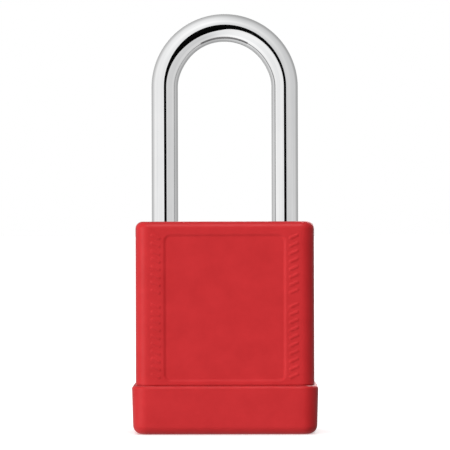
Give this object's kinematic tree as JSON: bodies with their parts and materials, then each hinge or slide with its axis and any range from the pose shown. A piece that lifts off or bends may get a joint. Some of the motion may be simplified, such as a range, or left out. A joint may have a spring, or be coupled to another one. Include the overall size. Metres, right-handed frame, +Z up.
{
  "type": "combination padlock",
  "caption": "Combination padlock: plastic-jacketed case, wider base bumper with number wheels underneath, and a long steel shackle that lifts to open.",
  "frame": {"origin": "centre of the bumper's bottom rim, which the lock stands on", "axes": "+Z up along the shackle, +X along the lock's width with the reset hole on the -X side, front face to -Y"},
  "size_m": [0.042, 0.0238, 0.095],
  "materials": {
    "red_plastic": "red thermoplastic, satin with a fine moulded grain",
    "shackle_chrome": "bright chrome plate on hardened steel",
    "cast_case": "as cast, tumbled",
    "plate_steel": "brushed along the width",
    "rivet_steel": "zinc plated",
    "mechanism_steel": "stamped, lightly oiled",
    "spring_steel": "drawn spring wire and leaf",
    "wheel_nickel": "nickel-plated brass, satin, with filled digits",
    "hub_brass": "turned brass"
  },
  "bodies": {
    "case": {"outer_jacket": "red_plastic", "base_bumper": "red_plastic", "lock_case": "cast_case", "base_plate": "plate_steel", "base_rivets": "rivet_steel", "wheel_frame": "mechanism_steel", "detent_spring": "spring_steel", "detent_rivets": "rivet_steel", "shackle_spring": "spring_steel", "spindle_spring": "spring_steel"},
    "shackle": {"shackle": "shackle_chrome", "locking_carriage": "mechanism_steel"},
    "spindle": {"spindle": "mechanism_steel", "retaining_clips": "spring_steel", "thrust_washer": "mechanism_steel"},
    "wheel_1": {"number_wheel_1": "wheel_nickel"},
    "wheel_2": {"number_wheel_2": "wheel_nickel"},
    "wheel_3": {"number_wheel_3": "wheel_nickel"},
    "wheel_4": {"number_wheel_4": "wheel_nickel"},
    "hub_1": {"hub_1": "hub_brass"},
    "hub_2": {"hub_2": "hub_brass"},
    "hub_3": {"hub_3": "hub_brass"},
    "hub_4": {"hub_4": "hub_brass"}
  },
  "joints": [
    {"name": "shackle_lift", "type": "slide", "parent": "case", "child": "shackle", "axis": [0, 0, 1], "range_m": [0, 0.0095], "deforming": ["shackle_spring"]},
    {"name": "spindle_shift", "type": "slide", "parent": "case", "child": "spindle", "axis": [1, 0, 0], "range_m": [0, 0.0012], "stiffness_N_per_m": 200, "springref_m": -0.006, "deforming": ["spindle_spring"]},
    {"name": "wheel_1_turn", "type": "hinge", "parent": "case", "child": "wheel_1", "pos_m": [0, 0, 0.0079], "axis": [1, 0, 0], "continuous": true, "deforming": ["detent_spring"]},
    {"name": "hub_1_shift", "type": "slide", "parent": "wheel_1", "child": "hub_1", "axis": [1, 0, 0], "range_m": [0, 0.0012]},
    {"name": "wheel_2_turn", "type": "hinge", "parent": "case", "child": "wheel_2", "pos_m": [0, 0, 0.0079], "axis": [1, 0, 0], "continuous": true, "deforming": ["detent_spring"]},
    {"name": "hub_2_shift", "type": "slide", "parent": "wheel_2", "child": "hub_2", "axis": [1, 0, 0], "range_m": [0, 0.0012]},
    {"name": "wheel_3_turn", "type": "hinge", "parent": "case", "child": "wheel_3", "pos_m": [0, 0, 0.0079], "axis": [1, 0, 0], "continuous": true, "deforming": ["detent_spring"]},
    {"name": "hub_3_shift", "type": "slide", "parent": "wheel_3", "child": "hub_3", "axis": [1, 0, 0], "range_m": [0, 0.0012]},
    {"name": "wheel_4_turn", "type": "hinge", "parent": "case", "child": "wheel_4", "pos_m": [0, 0, 0.0079], "axis": [1, 0, 0], "continuous": true, "deforming": ["detent_spring"]},
    {"name": "hub_4_shift", "type": "slide", "parent": "wheel_4", "child": "hub_4", "axis": [1, 0, 0], "range_m": [0, 0.0012]}
  ],
  "couplings": [
    {"joint": "hub_1_shift", "follows": "spindle_shift", "ratio": 1},
    {"joint": "hub_2_shift", "follows": "spindle_shift", "ratio": 1},
    {"joint": "hub_3_shift", "follows": "spindle_shift", "ratio": 1},
    {"joint": "hub_4_shift", "follows": "spindle_shift", "ratio": 1}
  ]
}
